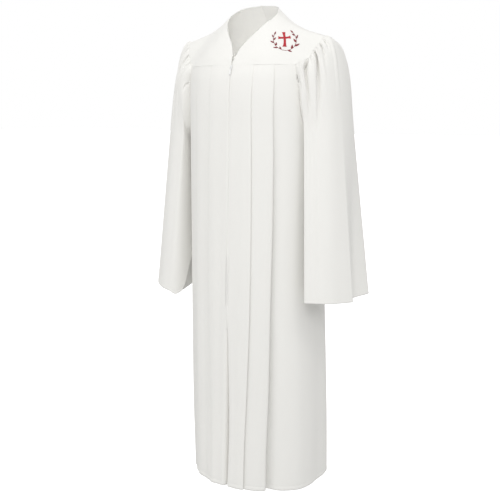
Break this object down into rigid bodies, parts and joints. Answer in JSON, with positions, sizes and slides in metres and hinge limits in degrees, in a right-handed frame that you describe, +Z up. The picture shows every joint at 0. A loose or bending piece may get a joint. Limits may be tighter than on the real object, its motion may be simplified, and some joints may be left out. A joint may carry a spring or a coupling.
{
  "type": "confirmation robe",
  "caption": "White full-length zip-front robe with V neck, yokes, knife pleats, gathered back and open bell sleeves, standing filled out as worn.",
  "frame": {"origin": "on the wearer's middle line, level with the place where the neck edge lies on the shoulders", "axes": "+Z up, -Y the robe's front, +X the wearer's left"},
  "size_m": [0.6518, 0.3543, 1.333],
  "materials": {
    "cloth": "matte fine woven polyester",
    "tape": "matte woven zip tape",
    "zip_metal": "white baked enamel"
  },
  "bodies": {
    "root": {"front_yoke_left": "cloth", "front_yoke_right": "cloth", "back_yoke": "cloth", "front_panel_left": "cloth", "front_panel_right": "cloth", "back_panel": "cloth", "sleeve_left": "cloth", "sleeve_right": "cloth", "zip_tape_left": "tape", "zip_tape_right": "tape", "zip_slider": "zip_metal"},
    "zip_pull": {"zip_pull": "zip_metal"}
  },
  "joints": [
    {"name": "zip_pull_swing", "type": "hinge", "parent": "root", "child": "zip_pull", "pos_m": [0, -0.12371, -0.14145], "axis": [-1, 0, 0], "range_deg": [0, 150]}
  ]
}
